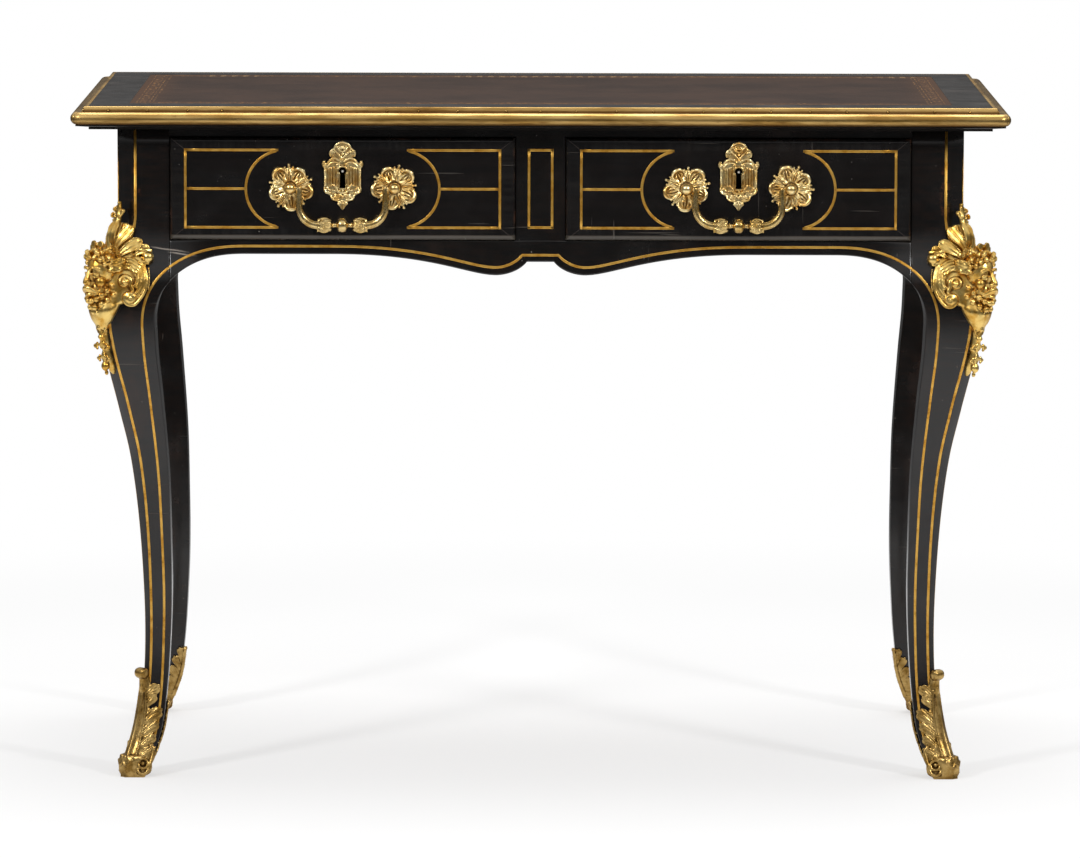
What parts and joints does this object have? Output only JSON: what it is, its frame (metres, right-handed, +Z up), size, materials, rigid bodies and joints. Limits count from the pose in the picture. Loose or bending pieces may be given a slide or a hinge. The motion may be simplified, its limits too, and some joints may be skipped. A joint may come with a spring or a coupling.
{
  "type": "bureau plat",
  "caption": "Writing desk with a leather top, brass edge, frieze drawers with bail handles and locks, curved legs and gilt mounts.",
  "frame": {"origin": "on the floor under the centre of the top", "axes": "+X to the sitter's right, front faces -Y, +Z up"},
  "size_m": [1.05, 0.6, 0.762],
  "materials": {
    "ebony": "black polished veneer, worn at the edges",
    "top_wood": "black polished veneer with scratches",
    "oak": "waxed oak, darkened with age",
    "leather": "brown hide with a worn gilt tooled border",
    "edge_brass": "satin brass with brown patina in the groove",
    "inlay_brass": "flush inlaid brass, rubbed bright",
    "gilt_bronze": "burnished and matt gilt bronze, dark in the hollows",
    "handle_gilt": "gilt bronze rubbed by use",
    "sabot_gilt": "gilt bronze, duller and browner than the masks",
    "iron": "filed iron with a dark film",
    "lock_brass": "plain brass sheet, tarnished"
  },
  "bodies": {
    "carcass": {"top_board": "top_wood", "leather_skin": "leather", "top_edge_front": "edge_brass", "top_edge_back": "edge_brass", "top_edge_left": "edge_brass", "top_edge_right": "edge_brass", "top_screws": "iron", "leg_front_left": "ebony", "leg_front_right": "ebony", "leg_back_left": "ebony", "leg_back_right": "ebony", "front_apron_rail": "ebony", "front_top_rail": "ebony", "mullion": "ebony", "rear_frieze": "ebony", "rear_panels": "ebony", "side_frieze_left": "ebony", "side_frieze_right": "ebony", "bearer_rails": "oak", "drawer_runners": "oak", "drawer_guides": "oak", "drawer_kickers": "oak", "glue_blocks": "oak", "rear_keyhole_plates": "handle_gilt", "rear_rosettes": "handle_gilt", "rear_handle_posts": "handle_gilt", "mask_front_left": "gilt_bronze", "mask_front_right": "gilt_bronze", "mask_back_left": "gilt_bronze", "mask_back_right": "gilt_bronze", "sabot_front_left": "sabot_gilt", "sabot_front_right": "sabot_gilt", "sabot_back_left": "sabot_gilt", "sabot_back_right": "sabot_gilt", "frieze_strings": "inlay_brass", "leg_strings": "inlay_brass"},
    "left_drawer": {"left_drawer_front": "ebony", "left_drawer_sides": "oak", "left_drawer_back": "oak", "left_drawer_bottom": "oak", "left_lock_case": "lock_brass", "left_keyhole_plate": "handle_gilt", "left_rosettes": "handle_gilt", "left_handle_posts": "handle_gilt", "left_drawer_strings": "inlay_brass"},
    "left_handle": {"left_bail": "handle_gilt"},
    "left_bolt": {"left_lock_bolt": "iron"},
    "rear_left_handle": {"rear_left_bail": "handle_gilt"},
    "right_drawer": {"right_drawer_front": "ebony", "right_drawer_sides": "oak", "right_drawer_back": "oak", "right_drawer_bottom": "oak", "right_lock_case": "lock_brass", "right_keyhole_plate": "handle_gilt", "right_rosettes": "handle_gilt", "right_handle_posts": "handle_gilt", "right_drawer_strings": "inlay_brass"},
    "right_handle": {"right_bail": "handle_gilt"},
    "right_bolt": {"right_lock_bolt": "iron"},
    "rear_right_handle": {"rear_right_bail": "handle_gilt"}
  },
  "joints": [
    {"name": "left_drawer_slide", "type": "slide", "parent": "carcass", "child": "left_drawer", "axis": [0, -1, 0], "range_m": [0, 0.33]},
    {"name": "left_handle_swing", "type": "hinge", "parent": "left_drawer", "child": "left_handle", "pos_m": [-0.22175, -0.2805, 0.6705], "axis": [-1, 0, 0], "range_deg": [-6, 100]},
    {"name": "left_bolt_rise", "type": "slide", "parent": "left_drawer", "child": "left_bolt", "axis": [0, 0, 1], "range_m": [0, 0.0075]},
    {"name": "rear_left_handle_swing", "type": "hinge", "parent": "carcass", "child": "rear_left_handle", "pos_m": [-0.22175, 0.2805, 0.6705], "axis": [1, 0, 0], "range_deg": [-6, 100]},
    {"name": "right_drawer_slide", "type": "slide", "parent": "carcass", "child": "right_drawer", "axis": [0, -1, 0], "range_m": [0, 0.33]},
    {"name": "right_handle_swing", "type": "hinge", "parent": "right_drawer", "child": "right_handle", "pos_m": [0.22175, -0.2805, 0.6705], "axis": [-1, 0, 0], "range_deg": [-6, 100]},
    {"name": "right_bolt_rise", "type": "slide", "parent": "right_drawer", "child": "right_bolt", "axis": [0, 0, 1], "range_m": [0, 0.0075]},
    {"name": "rear_right_handle_swing", "type": "hinge", "parent": "carcass", "child": "rear_right_handle", "pos_m": [0.22175, 0.2805, 0.6705], "axis": [1, 0, 0], "range_deg": [-6, 100]}
  ]
}
